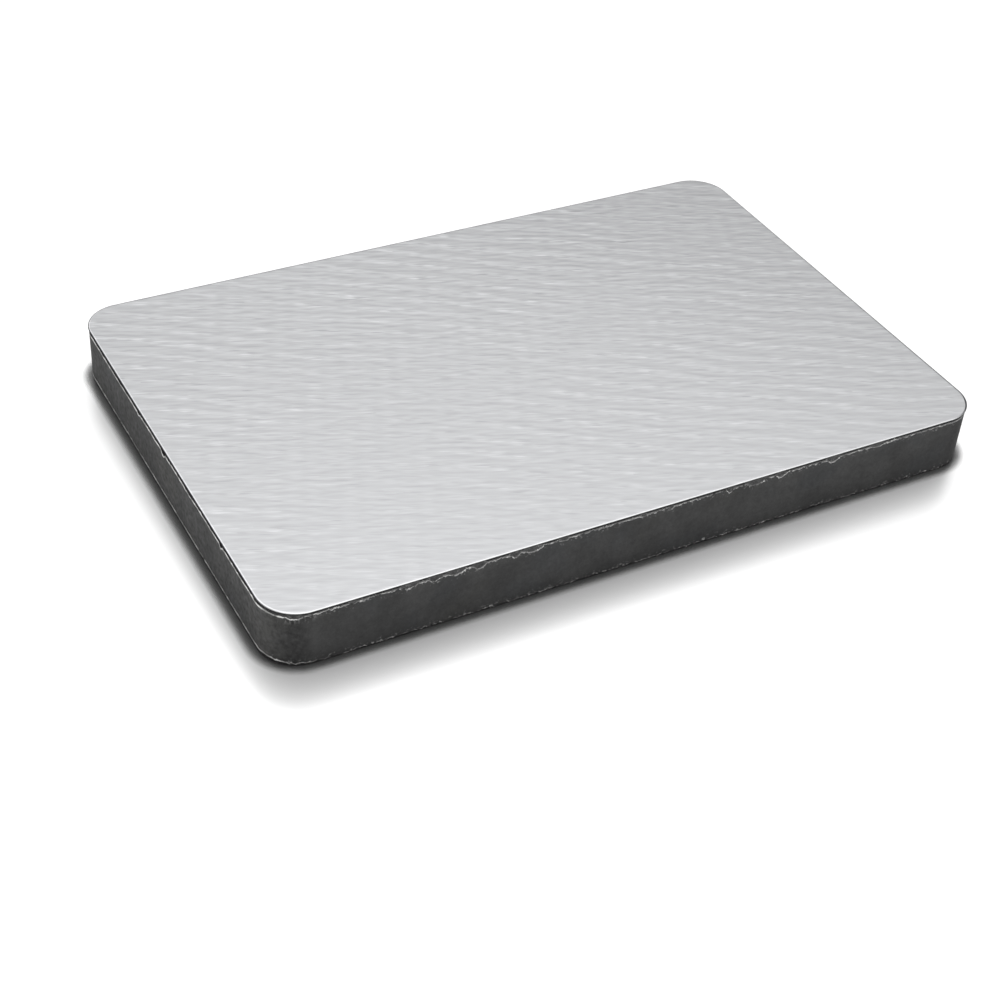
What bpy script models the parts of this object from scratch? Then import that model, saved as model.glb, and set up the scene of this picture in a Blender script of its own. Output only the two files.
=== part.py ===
"""Fire-rated duct board, a sample-sized panel.

A brushed metal facing is bonded to one face of a charcoal mineral core. The board lies on its bare face.
X runs along it, Y across it and Z up, and the origin is the middle of the underside. The core is brittle,
so the arris along its top and bottom edges is broken back a little all the way round, chipped in places, and
rubbed away further at the top of its left end.
"""
import math
import random
from collections import namedtuple

import bmesh
import bpy
from mathutils import Vector, noise

# Overall sizes, in metres
BOARD_LENGTH = 0.300
BOARD_WIDTH = 0.200
BOARD_THICKNESS = 0.024
CORNER_RADIUS = 0.015
CORNER_STEPS = 20

# Metal facing, which covers the whole board and has a softly rounded rim
FACING_THICKNESS = 0.0005
FACING_RIM_RADIUS = 0.00016
FACING_RIM_STEPS = 2

# Adhesive film under the facing, set back from the facing's edge
FILM_THICKNESS = 0.0002
FILM_SETBACK = 0.0004
LAYER_CLEARANCE = 0.00025

# Mineral core, which the facing overhangs all round. Its arris is broken down the edge face by the drop, and
# in over the flat face by the bite, a share of the drop
FACING_OVERHANG = 0.0002
TOP_ARRIS_DROP = 0.0003
LEFT_ARRIS_DROP = 0.0008
BOTTOM_ARRIS_DROP = 0.0002
ARRIS_BITE = 0.8
ARRIS_UNEVENNESS = 0.6
ARRIS_WAVE = 0.0045
TOP_WAVE_HEIGHT = 9.0
BOTTOM_WAVE_HEIGHT = 0.0
STATION_SPACING = 0.004
STATION_ROOM = 0.0004

# Chips are as deep into the core as they are tall, times this, and are hollow by this share of their height
CHIP_BITE = 0.9
CHIP_HOLLOW = 0.16
CHIP_ROUNDNESS = 1.7
CHIP_STATIONS = (-1.0, -0.75, -0.35, 0.05, 0.45, 0.8, 1.0)

# A chip's place is its distance from the middle of its side, counted counter-clockwise as seen from above
Chip = namedtuple("Chip", "place length drop")
FRONT_CHIPS = (
    Chip(-0.1416, 0.0070, 0.0015), Chip(-0.1205, 0.0040, 0.0011), Chip(-0.0990, 0.0080, 0.0016),
    Chip(-0.0895, 0.0060, 0.0024), Chip(-0.0815, 0.0090, 0.0014), Chip(-0.0725, 0.0060, 0.0019),
    Chip(-0.0585, 0.0050, 0.0021), Chip(-0.0515, 0.0090, 0.0016), Chip(-0.0385, 0.0060, 0.0011),
    Chip(-0.0060, 0.0030, 0.0019), Chip(0.0060, 0.0020, 0.0015), Chip(0.0315, 0.0036, 0.0019),
    Chip(0.0435, 0.0120, 0.0018), Chip(0.0545, 0.0056, 0.0018), Chip(0.0785, 0.0080, 0.0019),
    Chip(0.0995, 0.0080, 0.0011),
)
LEFT_CHIPS = (
    Chip(-0.0720, 0.0080, 0.0010), Chip(-0.0500, 0.0090, 0.0011), Chip(-0.0295, 0.0042, 0.0018),
    Chip(-0.0030, 0.0060, 0.0022), Chip(0.0200, 0.0050, 0.0011), Chip(0.0540, 0.0042, 0.0017),
)

# The right and back edges have like chips, scattered, and so has the whole bottom edge
HIDDEN_CHIP_COUNT = 22
HIDDEN_CHIP_LENGTHS = (0.003, 0.010)
HIDDEN_CHIP_DROPS = (0.0009, 0.0022)
HIDDEN_CHIP_SEED = 11
BOTTOM_CHIP_COUNT = 26
BOTTOM_CHIP_LENGTHS = (0.0016, 0.005)
BOTTOM_CHIP_DROPS = (0.0004, 0.0008)
BOTTOM_CHIP_SEED = 5

# Colours are linear
FACING_COLOUR = (0.62, 0.63, 0.645)
FILM_COLOUR = (0.010, 0.010, 0.011)
CORE_COLOUR = (0.050, 0.050, 0.051)


def clear_scene():
    for thing in list(bpy.data.objects):
        bpy.data.objects.remove(thing, do_unlink=True)


def new_collection(name):
    collection = bpy.data.collections.new(name)
    bpy.context.scene.collection.children.link(collection)
    return collection


def new_material(name, colour, metallic, roughness):
    material = bpy.data.materials.new(name)
    material.use_nodes = True
    shader = material.node_tree.nodes["Principled BSDF"]
    shader.inputs["Base Color"].default_value = (*colour, 1.0)
    shader.inputs["Metallic"].default_value = metallic
    shader.inputs["Roughness"].default_value = roughness
    return material


class RoundedRectangle:
    """The board's plan outline, set in from the edge of the facing by a distance."""

    def __init__(self, inset):
        self.half_length = BOARD_LENGTH / 2 - inset
        self.half_width = BOARD_WIDTH / 2 - inset
        self.radius = CORNER_RADIUS - inset
        self.front = 2 * (self.half_length - self.radius)
        self.side = 2 * (self.half_width - self.radius)
        self.quarter = math.pi / 2 * self.radius
        self.around = 2 * (self.front + self.side) + 4 * self.quarter

    def straights(self):
        """The front, right, back and left: where each straight starts, its direction and its length."""
        x, y, radius = self.half_length, self.half_width, self.radius
        return (
            (Vector((radius - x, -y)), Vector((1, 0)), self.front),
            (Vector((x, radius - y)), Vector((0, 1)), self.side),
            (Vector((x - radius, y)), Vector((-1, 0)), self.front),
            (Vector((-x, y - radius)), Vector((0, -1)), self.side),
        )

    def at(self, place):
        """The point at a distance along the outline from the middle of the front, and the way outward."""
        left_over = (place + self.front / 2) % self.around
        straights = self.straights()
        side = 0
        while side < 3 and left_over > straights[side][2] + self.quarter:
            left_over -= straights[side][2] + self.quarter
            side += 1
        start, along, length = straights[side]
        outward = Vector((along.y, -along.x))
        if left_over <= length:
            return start + along * left_over, outward
        centre = start + along * length - outward * self.radius
        angle = (left_over - length) / self.radius
        turned = outward * math.cos(angle) + along * math.sin(angle)
        return centre + turned * self.radius, turned

    def corner_places(self, steps=CORNER_STEPS):
        """Places along the outline at even steps round each corner, its two ends among them."""
        places = []
        corner_start = self.front / 2
        for following in (self.side, self.front, self.side, self.front):
            places += [corner_start + self.quarter * step / steps for step in range(steps + 1)]
            corner_start += self.quarter + following
        return places

    def middle_of_left(self):
        return -(self.front / 2 + self.quarter + self.side / 2)

    def right_and_back(self):
        """The stretch from the middle of the front right corner to the middle of the back left one."""
        start = self.front / 2 + self.quarter / 2
        return start, start + self.quarter * 2 + self.side + self.front


def new_sheet(name, outline, bottom, thickness, material, collection):
    """A flat sheet cut to the outline, as a welded mesh."""
    curve = bpy.data.curves.new(name, "CURVE")
    curve.dimensions = "2D"
    curve.fill_mode = "BOTH"
    curve.extrude = thickness / 2
    places = outline.corner_places()
    spline = curve.splines.new("POLY")
    spline.points.add(len(places) - 1)
    for point, place in zip(spline.points, places):
        x, y = outline.at(place)[0]
        point.co = (x, y, 0, 1)
    spline.use_cyclic_u = True
    flat = bpy.data.objects.new(name + "_outline", curve)
    flat.location.z = bottom + thickness / 2
    collection.objects.link(flat)
    bpy.context.view_layer.update()

    graph = bpy.context.evaluated_depsgraph_get()
    mesh = bpy.data.meshes.new_from_object(flat.evaluated_get(graph))
    sheet = bpy.data.objects.new(name, mesh)
    sheet.matrix_world = flat.matrix_world
    collection.objects.link(sheet)
    bpy.data.objects.remove(flat)

    edit = bmesh.new()
    edit.from_mesh(mesh)
    bmesh.ops.remove_doubles(edit, verts=edit.verts, dist=0.00001)
    edit.to_mesh(mesh)
    edit.free()
    mesh.materials.clear()
    mesh.materials.append(material)
    return sheet


def round_rim(sheet):
    bevel = sheet.modifiers.new("rounded rim", "BEVEL")
    bevel.limit_method = "ANGLE"
    bevel.angle_limit = math.radians(60)
    bevel.width = FACING_RIM_RADIUS
    bevel.segments = FACING_RIM_STEPS


def scattered_chips(count, stretch, lengths, drops, seed):
    """Chips spread over a stretch of the edge, one to each equal share of it."""
    draw = random.Random(seed)
    share = (stretch[1] - stretch[0]) / count
    return [
        Chip(stretch[0] + share * (i + draw.random()), draw.uniform(*lengths), draw.uniform(*drops))
        for i in range(count)
    ]


def distance_along(outline, place, other):
    """How far place lies past other along the outline, the short way round."""
    half = outline.around / 2
    return (place - other + half) % outline.around - half


def top_arris_drop(outward):
    """How far the top arris is broken down, which grows round the corners to that of the left end."""
    leftward = max(0.0, -outward.x)
    return TOP_ARRIS_DROP + (LEFT_ARRIS_DROP - TOP_ARRIS_DROP) * leftward


def break_at(outline, place, arris_drop, chips, noise_height):
    """How far the arris is broken back: down the edge face, in over the flat face, and hollowed between."""
    point = outline.at(place)[0]
    wave = noise.noise(Vector((point.x / ARRIS_WAVE, point.y / ARRIS_WAVE, noise_height)))
    uneven = 1 + ARRIS_UNEVENNESS * wave
    drop, hollow = arris_drop * uneven, 0.0
    bite = ARRIS_BITE * drop
    for chip in chips:
        along = 2 * distance_along(outline, place, chip.place) / chip.length
        if abs(along) < 1:
            depth = chip.drop * uneven * (1 - abs(along) ** CHIP_ROUNDNESS)
            if depth > drop:
                drop, bite, hollow = depth, max(bite, CHIP_BITE * depth), CHIP_HOLLOW * depth
    return drop, bite, hollow


def station_places(outline, chips):
    """Where the core's section is drawn: at the chips, round the corners and evenly between."""
    steps = math.ceil(outline.around / STATION_SPACING)
    evenly = [outline.around * i / steps for i in range(steps)]
    at_chips = [chip.place + share * chip.length / 2 for chip in chips for share in CHIP_STATIONS]
    kept = []
    for places, room in (
        (at_chips, STATION_ROOM),
        (outline.corner_places(CORNER_STEPS // 2), 2 * STATION_ROOM),
        (evenly, 2 * STATION_ROOM),
    ):
        for place in places:
            if all(abs(distance_along(outline, place, other)) > room for other in kept):
                kept.append(place % outline.around)
    return sorted(kept)


def section_at(outline, place, top, top_chips, bottom_chips):
    """The core's edge at one place, from the underside up, as points in space."""
    point, outward = outline.at(place)
    low_drop, low_bite, low_hollow = break_at(
        outline, place, BOTTOM_ARRIS_DROP, bottom_chips, BOTTOM_WAVE_HEIGHT
    )
    high_drop, high_bite, high_hollow = break_at(
        outline, place, top_arris_drop(outward), top_chips, TOP_WAVE_HEIGHT
    )
    steps = (
        (low_bite, 0.0),
        (low_bite / 2 + low_hollow, low_drop / 2 + low_hollow),
        (0.0, low_drop),
        (0.0, top - high_drop),
        (high_bite / 2 + high_hollow, top - high_drop / 2 - high_hollow),
        (high_bite, top),
    )
    return [(*(point - outward * inset), height) for inset, height in steps]


def loft(edit, sections):
    """Joins sections that stand round a closed outline into one solid."""
    columns = [[edit.verts.new(point) for point in section] for section in sections]
    for column, following in zip(columns, columns[1:] + columns[:1]):
        for level in range(len(column) - 1):
            edit.faces.new((column[level], following[level], following[level + 1], column[level + 1]))
    edit.faces.new([column[0] for column in reversed(columns)])
    edit.faces.new([column[-1] for column in columns])


def new_core(name, top, material, collection):
    """The mineral core, its edge lofted through sections that differ with the broken arris."""
    outline = RoundedRectangle(FACING_OVERHANG)
    left_chips = [chip._replace(place=outline.middle_of_left() + chip.place) for chip in LEFT_CHIPS]
    hidden_chips = scattered_chips(
        HIDDEN_CHIP_COUNT, outline.right_and_back(),
        HIDDEN_CHIP_LENGTHS, HIDDEN_CHIP_DROPS, HIDDEN_CHIP_SEED,
    )
    top_chips = list(FRONT_CHIPS) + left_chips + hidden_chips
    bottom_chips = scattered_chips(
        BOTTOM_CHIP_COUNT, (0.0, outline.around),
        BOTTOM_CHIP_LENGTHS, BOTTOM_CHIP_DROPS, BOTTOM_CHIP_SEED,
    )
    places = station_places(outline, top_chips + bottom_chips)
    edit = bmesh.new()
    loft(edit, [section_at(outline, place, top, top_chips, bottom_chips) for place in places])
    bmesh.ops.recalc_face_normals(edit, faces=edit.faces)
    mesh = bpy.data.meshes.new(name)
    edit.to_mesh(mesh)
    edit.free()
    mesh.materials.append(material)
    core = bpy.data.objects.new(name, mesh)
    collection.objects.link(core)
    return core


def main():
    clear_scene()
    board = new_collection("duct_board")

    facing_bottom = BOARD_THICKNESS - FACING_THICKNESS
    film_bottom = facing_bottom - LAYER_CLEARANCE - FILM_THICKNESS
    core_top = film_bottom - LAYER_CLEARANCE

    facing_metal = new_material("brushed_facing", FACING_COLOUR, metallic=1.0, roughness=0.38)
    film_black = new_material("adhesive_film", FILM_COLOUR, metallic=0.0, roughness=0.7)
    core_grey = new_material("charcoal_core", CORE_COLOUR, metallic=0.0, roughness=0.85)

    facing = new_sheet(
        "facing_sheet", RoundedRectangle(0.0), facing_bottom, FACING_THICKNESS, facing_metal, board
    )
    round_rim(facing)
    new_sheet("bond_film", RoundedRectangle(FILM_SETBACK), film_bottom, FILM_THICKNESS, film_black, board)
    new_core("core", core_top, core_grey, board)


main()
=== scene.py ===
"""Looks of the fire-rated duct board: a brushed metal facing bonded to a charcoal mineral core.

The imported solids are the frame. The facing and the core get finer meshes in their place: the core's broken
arris is read off its solid and flaked further. The adhesive film keeps its own mesh and gets a material.
The file is laid out as an add-on and is run as a script.
"""

import math

import bmesh
import bpy
from mathutils import Matrix, Quaternion, Vector, noise
from mathutils.bvhtree import BVHTree


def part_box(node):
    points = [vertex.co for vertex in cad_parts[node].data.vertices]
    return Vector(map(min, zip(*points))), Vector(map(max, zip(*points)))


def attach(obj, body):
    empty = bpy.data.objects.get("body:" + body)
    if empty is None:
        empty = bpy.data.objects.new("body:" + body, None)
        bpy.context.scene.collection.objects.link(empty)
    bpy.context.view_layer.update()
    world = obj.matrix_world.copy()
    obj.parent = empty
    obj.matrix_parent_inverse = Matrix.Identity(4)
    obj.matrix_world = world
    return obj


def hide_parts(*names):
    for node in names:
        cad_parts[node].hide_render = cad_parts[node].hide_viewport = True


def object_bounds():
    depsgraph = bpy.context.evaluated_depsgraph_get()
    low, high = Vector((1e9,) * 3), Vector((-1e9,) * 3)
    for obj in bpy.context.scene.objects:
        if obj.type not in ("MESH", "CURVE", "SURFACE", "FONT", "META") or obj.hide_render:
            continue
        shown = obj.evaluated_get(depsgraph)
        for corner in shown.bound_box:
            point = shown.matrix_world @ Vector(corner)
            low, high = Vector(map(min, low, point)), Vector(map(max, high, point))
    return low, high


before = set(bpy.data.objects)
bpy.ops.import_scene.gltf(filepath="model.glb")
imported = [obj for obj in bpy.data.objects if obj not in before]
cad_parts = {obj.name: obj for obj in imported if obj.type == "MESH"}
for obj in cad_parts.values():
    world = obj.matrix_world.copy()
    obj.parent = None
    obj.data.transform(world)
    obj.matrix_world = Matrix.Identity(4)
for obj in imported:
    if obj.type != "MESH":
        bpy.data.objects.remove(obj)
cad_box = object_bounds()

bl_info = {
    "name": "Fire-rated duct board",
    "version": (1, 0, 0),
    "blender": (4, 5, 0),
    "location": "View3D > Sidebar > Duct board",
    "description": "Finishes the facing, film and mineral core of a duct board, and sets its stage",
    "category": "Object",
}

# The map that a piece's materials are baked through, and how its square is shared out
BAKE_MAP = "OFBake"
MAP_MARGIN = 0.004
BELT_STRIPS = 4
BELT_STRIP_HEIGHT = 0.14
RIM_STRIP_HEIGHT = 0.03

# The way from the middle of the facing to its back right corner
TO_BACK_RIGHT = (0.8, 0.6, 0.0)

# Steps round each corner of the facing, and over its rounded rim
FACING_CORNER_STEPS = 32
FACING_RIM_STEPS = 3

# Reach of a break and start of its rays, how deep counts as broken, and the halvings that find a lip
BREAK_REACH = 0.003
BREAK_TOLERANCE = 0.00001
SEARCH_STEPS = 11

# Rows of faces over each part of the core's edge, from the underside up
LOWER_BREAK_ROWS = 3
LOWER_BAND_ROWS = 7
WALL_ROWS = 6
UPPER_BAND_ROWS = 8
UPPER_BREAK_ROWS = 5

# Angles past which an edge of the facing gets a rounded rim, and one of the core stays sharp
RIM_ANGLE = math.radians(60)
SHARP_ANGLE = math.radians(32)

# Rise of the normal up to which a face of the facing belongs to its cut edge
CUT_RISE = 0.1

# Brush lines: each kind's turn off the grain, and its shares of a line's length and width
BROAD_LINES = (-0.02, 1.0, 1.0)
NARROW_LINES = (0.03, 0.7, 0.62)
LONG_STROKES = (0.035, 0.75, 0.52)
SHORT_STROKES = (-0.04, 0.55, 0.38)

# How strongly each kind shows, how far a sweep gathers the strokes, and what a line does to the roughness
NARROW_SHARE = 0.6
SOFT_SHARE = 0.7
STROKE_SHARE = 0.6
DARK_STROKE_SHARE = 0.75
STROKE_GATHERING = 0.9
LINE_ROUGHNESS = -0.06

# How far the sweeps wander, over what length, and the size of the patches in which they show
SWEEP_WANDER = 0.012
SWEEP_BEND = 0.045
SWEEP_PATCH = 0.07

# Painted light inside the facing's rim: a painted highlight at the left end and painted shade elsewhere, and
# painted shade over its outer part all round, more at one corner
LEFT_PAINTED_HIGHLIGHT = 0.40
OTHER_PAINTED_SHADE = -0.10
RIM_PAINTED_SHADE = 0.14
CORNER_DARKENING = 0.55

# Sizes of the patterns on the cut edge, the film and the core
SMEAR_SIZE = 0.0016
GRAIN_SIZE = 0.0005
CRUMB_SIZE = 0.0012
PATCH_SIZE = 0.0022
MOTTLE_SIZE = 0.0022
CRUSH_SIZE = 0.0035
CLOUD_SIZE = 0.016
TINT_SIZE = 0.022
SCRAPE_SIZE = 0.0010

# How pale the grain of the film is, as a share of its colour
FILM_PALER = 2.2

# Tints of the sawn face as shares of its colour, and how much of them shows
BLUISH_TINT = (1.00, 1.05, 1.12)
OLIVE_TINT = (1.05, 1.03, 0.96)
TINT_SHARE = 0.4

# Painted shade of the sawn face: how dark it is at its foot, and how it grows paler with height, per metre
FOOT_PAINTED_SHADE = 0.71
PAINTED_SHADE_RISE = 17.0

# Mottling of the sawn face, what the left end adds to it, and the noise at which it is neutral
MOTTLE_STRENGTH = 0.7
END_MOTTLE = 2.3
MOTTLE_MIDDLE = 0.48

# How far from a lip the scuffs start, and where they are at their full
SCUFF_START = 0.0030
SCUFF_FULL = 0.0003

# Softness of a chip's outline, how far past it the relief fades, and the height of painted shade under the
# film
CHIP_SOFTNESS = 0.00005
RELIEF_FADE = 0.001
CHIP_SHADE_HEIGHT = 0.0003

# Scrapes at the front left corner: how far they reach and are at their full, and how strong they are
SCRAPE_REACH = 0.018
SCRAPE_FULL = 0.009
SCRAPE_STRENGTH = 0.16

# The floor's size, depth below the board and roughness, and its painted contact shadow: the shade there and
# the share of open sky at which it begins
FLOOR_SIZE = 6.0
FLOOR_DEPTH = 0.0001
FLOOR_ROUGHNESS = 0.35
CONTACT_SHADE = 0.05
CONTACT_SKY = 0.66


class FacingSettings(bpy.types.PropertyGroup):
    """The brushed metal sheet."""

    colour: bpy.props.FloatVectorProperty(
        name="Colour", description="Colour of the metal", subtype="COLOR", size=3,
        default=(0.386, 0.389, 0.397), min=0.0, max=1.0,
    )
    # Painted highlight: the rim in front takes this lighter colour in place of the light it catches
    rim_highlight_colour: bpy.props.FloatVectorProperty(
        name="Rim colour", description="Colour of the burnished rim", subtype="COLOR", size=3,
        default=(0.54, 0.545, 0.55), min=0.0, max=1.0,
    )
    # Painted shade: the outer part of the rim turns to this near black colour, more of it near the front
    # right corner
    rim_painted_shade_colour: bpy.props.FloatVectorProperty(
        name="Soiled colour", description="Colour of the rim where adhesive has blackened it",
        subtype="COLOR", size=3, default=(0.032, 0.032, 0.036), min=0.0, max=1.0,
    )
    # Painted shade: the cut edge below the rim is near black, standing in for the shade under the sheet's
    # rim
    cut_edge_painted_shade: bpy.props.FloatVectorProperty(
        name="Cut colour", description="Colour of the cut edge below the rim, blackened by adhesive",
        subtype="COLOR", size=3, default=(0.008, 0.008, 0.009), min=0.0, max=1.0,
    )
    roughness: bpy.props.FloatProperty(
        name="Roughness", description="Roughness between the brush lines", subtype="FACTOR",
        default=0.40, min=0.0, max=1.0,
    )
    grain_angle: bpy.props.FloatProperty(
        name="Grain angle", description="Direction of the brush lines, from the board's length",
        subtype="ANGLE", default=math.radians(-21.7),
    )
    line_length: bpy.props.FloatProperty(
        name="Line length", description="Usual length of a brush line", unit="LENGTH",
        default=0.0125, min=0.001, precision=4,
    )
    line_width: bpy.props.FloatProperty(
        name="Line width", description="Usual width of a brush line and the space beside it",
        unit="LENGTH", default=0.00185, min=0.0001, precision=5,
    )
    line_contrast: bpy.props.FloatProperty(
        name="Line contrast", description="How much lighter or darker a brush line is", subtype="FACTOR",
        default=0.293, min=0.0, max=1.0,
    )
    sweep_angle: bpy.props.FloatProperty(
        name="Sweep angle", description="Direction of the sweeps that gather the brush lines",
        subtype="ANGLE", default=math.radians(-31.6),
    )
    sweep_pitch: bpy.props.FloatProperty(
        name="Sweep pitch", description="Distance from one sweep to the next", unit="LENGTH",
        default=0.0091, min=0.001, precision=4,
    )
    sweep_contrast: bpy.props.FloatProperty(
        name="Sweep contrast", description="How much lighter or darker a sweep is", subtype="FACTOR",
        default=0.062, min=0.0, max=1.0,
    )
    lines_level: bpy.props.FloatProperty(
        name="Lines level", description="Strength of the brush lines at the middle of the sheet",
        subtype="FACTOR", default=0.87, min=0.0, max=2.0,
    )
    lines_fade: bpy.props.FloatVectorProperty(
        name="Lines fade", description="How the brush lines grow to the right and the back, per metre",
        size=2, default=(0.8, 3.0),
    )
    # Painted shade: the metal's colour darkens towards the back right corner, in place of its reflected
    # light falling off there
    back_right_painted_shade: bpy.props.FloatProperty(
        name="Dulling", description="How much darker the metal is at its back right corner",
        subtype="FACTOR", default=0.14, min=0.0, max=1.0,
    )
    back_right_shade_reach: bpy.props.FloatProperty(
        name="Dulling reach", description="Distance from the middle over which the dulling comes in",
        unit="LENGTH", default=0.2, min=0.01, precision=3,
    )
    shoulder_width: bpy.props.FloatProperty(
        name="Shoulder width", description="Width of the soft shoulder inside the rim", unit="LENGTH",
        default=0.00110, min=0.0001, precision=5,
    )
    shoulder_drop: bpy.props.FloatProperty(
        name="Shoulder drop", description="How far the shoulder falls to the rim", unit="LENGTH",
        default=0.00004, min=0.0, precision=5,
    )
    rim_radius: bpy.props.FloatProperty(
        name="Rim radius", description="Radius of the rounded rim", unit="LENGTH",
        default=0.00016, min=0.00001, precision=5,
    )


class FilmSettings(bpy.types.PropertyGroup):
    """The adhesive film between facing and core."""

    colour: bpy.props.FloatVectorProperty(
        name="Colour", description="Colour of the cured adhesive", subtype="COLOR", size=3,
        default=(0.010, 0.010, 0.011), min=0.0, max=1.0,
    )
    roughness: bpy.props.FloatProperty(
        name="Roughness", description="Roughness of the film's cut edge", subtype="FACTOR",
        default=0.7, min=0.0, max=1.0,
    )


class CoreSettings(bpy.types.PropertyGroup):
    """The mineral core and its broken arris."""

    column_width: bpy.props.FloatProperty(
        name="Column width", description="Width of the mesh's faces along the edge", unit="LENGTH",
        default=0.0004, min=0.0002, precision=5,
    )
    band: bpy.props.FloatProperty(
        name="Flaked band", description="Height below the upper lip that is flaked and scuffed",
        unit="LENGTH", default=0.0032, min=0.0005, precision=4,
    )
    lower_band: bpy.props.FloatProperty(
        name="Lower flaked band", description="Height above the lower lip that is flaked and scuffed",
        unit="LENGTH", default=0.0032, min=0.0005, precision=4,
    )
    flake_size: bpy.props.FloatProperty(
        name="Flake size", description="Usual width of a flake", unit="LENGTH",
        default=0.0017, min=0.0002, precision=5,
    )
    flake_reach: bpy.props.FloatProperty(
        name="Flake reach", description="How far flakes wander from the lip of the solid", unit="LENGTH",
        default=0.0008, min=0.0, precision=5,
    )
    front_sag: bpy.props.FloatProperty(
        name="Front sag", description="How far past the lip of the solid the flakes run, but for the left",
        unit="LENGTH", default=0.00025, min=0.0, precision=5,
    )
    flake_depth: bpy.props.FloatProperty(
        name="Flake depth", description="How far a flake is sunk into the edge at most", unit="LENGTH",
        default=0.00012, min=0.0, precision=5,
    )
    colour: bpy.props.FloatVectorProperty(
        name="Colour", description="Colour of the sawn edge", subtype="COLOR", size=3,
        default=(0.0450, 0.0450, 0.0450), min=0.0, max=1.0,
    )
    # Partly the paler broken mineral, partly painted light: the chips are lightened against the shade under
    # the facing
    chip_colour: bpy.props.FloatVectorProperty(
        name="Chip colour", description="Colour of the freshly broken mineral", subtype="COLOR", size=3,
        default=(0.18, 0.18, 0.18), min=0.0, max=1.0,
    )
    # Painted shade: chips at the left end and along the underside are near black, in place of the shade they
    # lie in
    painted_shade_chip_colour: bpy.props.FloatVectorProperty(
        name="Pit colour", description="Colour of the chips at the left end and along the underside",
        subtype="COLOR", size=3, default=(0.0085, 0.0085, 0.0085), min=0.0, max=1.0,
    )
    # Partly the colour of crushed mineral, partly a painted highlight along the broken arris
    crest_colour: bpy.props.FloatVectorProperty(
        name="Crest colour", description="Colour of the crushed crests of the chips", subtype="COLOR",
        size=3, default=(0.60, 0.60, 0.59), min=0.0, max=1.0,
    )
    crest_width: bpy.props.FloatProperty(
        name="Crest width", description="Width of a crushed crest where it is worn most", unit="LENGTH",
        default=0.0009, min=0.00005, precision=5,
    )
    front_rise: bpy.props.FloatProperty(
        name="Front rise", description="Height of the bruised margin over the lower lip, but for the left",
        unit="LENGTH", default=0.0002, min=0.0, precision=5,
    )
    left_rise: bpy.props.FloatProperty(
        name="Left rise", description="Height of the bruised margin over the lower lip at the left end",
        unit="LENGTH", default=0.0014, min=0.0, precision=5,
    )
    tear: bpy.props.FloatProperty(
        name="Tear", description="How far the fine tearing of a crest wanders", unit="LENGTH",
        default=0.0034, min=0.0, precision=5,
    )
    front_wear: bpy.props.FloatProperty(
        name="Front wear", description="Wear of the arris along the front, back and right",
        subtype="FACTOR", default=0.42, min=0.0, max=1.0,
    )
    left_wear: bpy.props.FloatProperty(
        name="Left wear", description="Wear of the arris along the left end", subtype="FACTOR",
        default=1.0, min=0.0, max=1.0,
    )
    # Painted highlight and shade: a round corner is paler on its end side and darker on its long side, in
    # place of light from the left
    painted_corner_light_strength: bpy.props.FloatProperty(
        name="Corner rub", subtype="FACTOR", default=0.42, min=0.0, max=1.0,
        description="How much paler a round corner is on its end side, and darker on its long side",
    )
    lower_wear: bpy.props.FloatProperty(
        name="Lower wear", description="Wear of the lower arris, as a share of the upper one's",
        subtype="FACTOR", default=0.65, min=0.0, max=1.0,
    )


class StageSettings(bpy.types.PropertyGroup):
    """Camera, lamps and floor."""

    lens: bpy.props.FloatProperty(
        name="Lens", description="Focal length on a 36 mm sensor", default=66.984, min=1.0, precision=3,
    )
    aim: bpy.props.FloatVectorProperty(
        name="Aim", description="Point on the facing that the camera looks at", unit="LENGTH", size=3,
        default=(-0.05058, -0.07308, cad_box[1].z), precision=5,
    )
    distance: bpy.props.FloatProperty(
        name="Distance", description="From the camera to the aim", unit="LENGTH", default=0.66754, min=0.01,
    )
    azimuth: bpy.props.FloatProperty(
        name="Azimuth", description="Where the camera stands round the board", subtype="ANGLE",
        default=math.radians(-30.884),
    )
    elevation: bpy.props.FloatProperty(
        name="Elevation", description="How high the camera stands", subtype="ANGLE",
        default=math.radians(38.850),
    )
    roll: bpy.props.FloatProperty(
        name="Roll", description="How far the camera is turned about its own axis", subtype="ANGLE",
        default=math.radians(4.593),
    )
    floor_shade: bpy.props.FloatProperty(
        name="Floor shade", description="How pale the floor is under the lamps", subtype="FACTOR",
        default=0.95, min=0.0, max=1.0,
    )
    floor_polish: bpy.props.FloatProperty(
        name="Floor polish", description="Share of the floor's look that is a soft reflection",
        subtype="FACTOR", default=0.5, min=0.0, max=1.0,
    )
    contact_reach: bpy.props.FloatProperty(
        name="Contact reach", description="How far the dark line of contact reaches over the floor",
        unit="LENGTH", default=0.005, min=0.0, precision=4,
    )
    ambient: bpy.props.FloatProperty(
        name="Ambient", description="Light of the world on matt surfaces", default=0.58, min=0.0,
    )
    sun_level: bpy.props.FloatProperty(
        name="Sun level", description="Light of the sun on a matt surface that faces it",
        default=0.415, min=0.0,
    )
    sun_azimuth: bpy.props.FloatProperty(
        name="Sun azimuth", description="Where the sun stands, from straight behind towards the right",
        subtype="ANGLE", default=math.radians(30.0),
    )
    sun_elevation: bpy.props.FloatProperty(
        name="Sun elevation", description="How high the sun stands", subtype="ANGLE",
        default=math.radians(70.0),
    )
    sun_spread: bpy.props.FloatProperty(
        name="Sun spread", description="How wide the sun is, which softens its shadows", subtype="ANGLE",
        default=math.radians(60.0),
    )


class DuctBoardSettings(bpy.types.PropertyGroup):
    """Everything that can be changed before the pieces are made."""

    facing: bpy.props.PointerProperty(type=FacingSettings)
    film: bpy.props.PointerProperty(type=FilmSettings)
    core: bpy.props.PointerProperty(type=CoreSettings)
    stage: bpy.props.PointerProperty(type=StageSettings)


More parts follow.
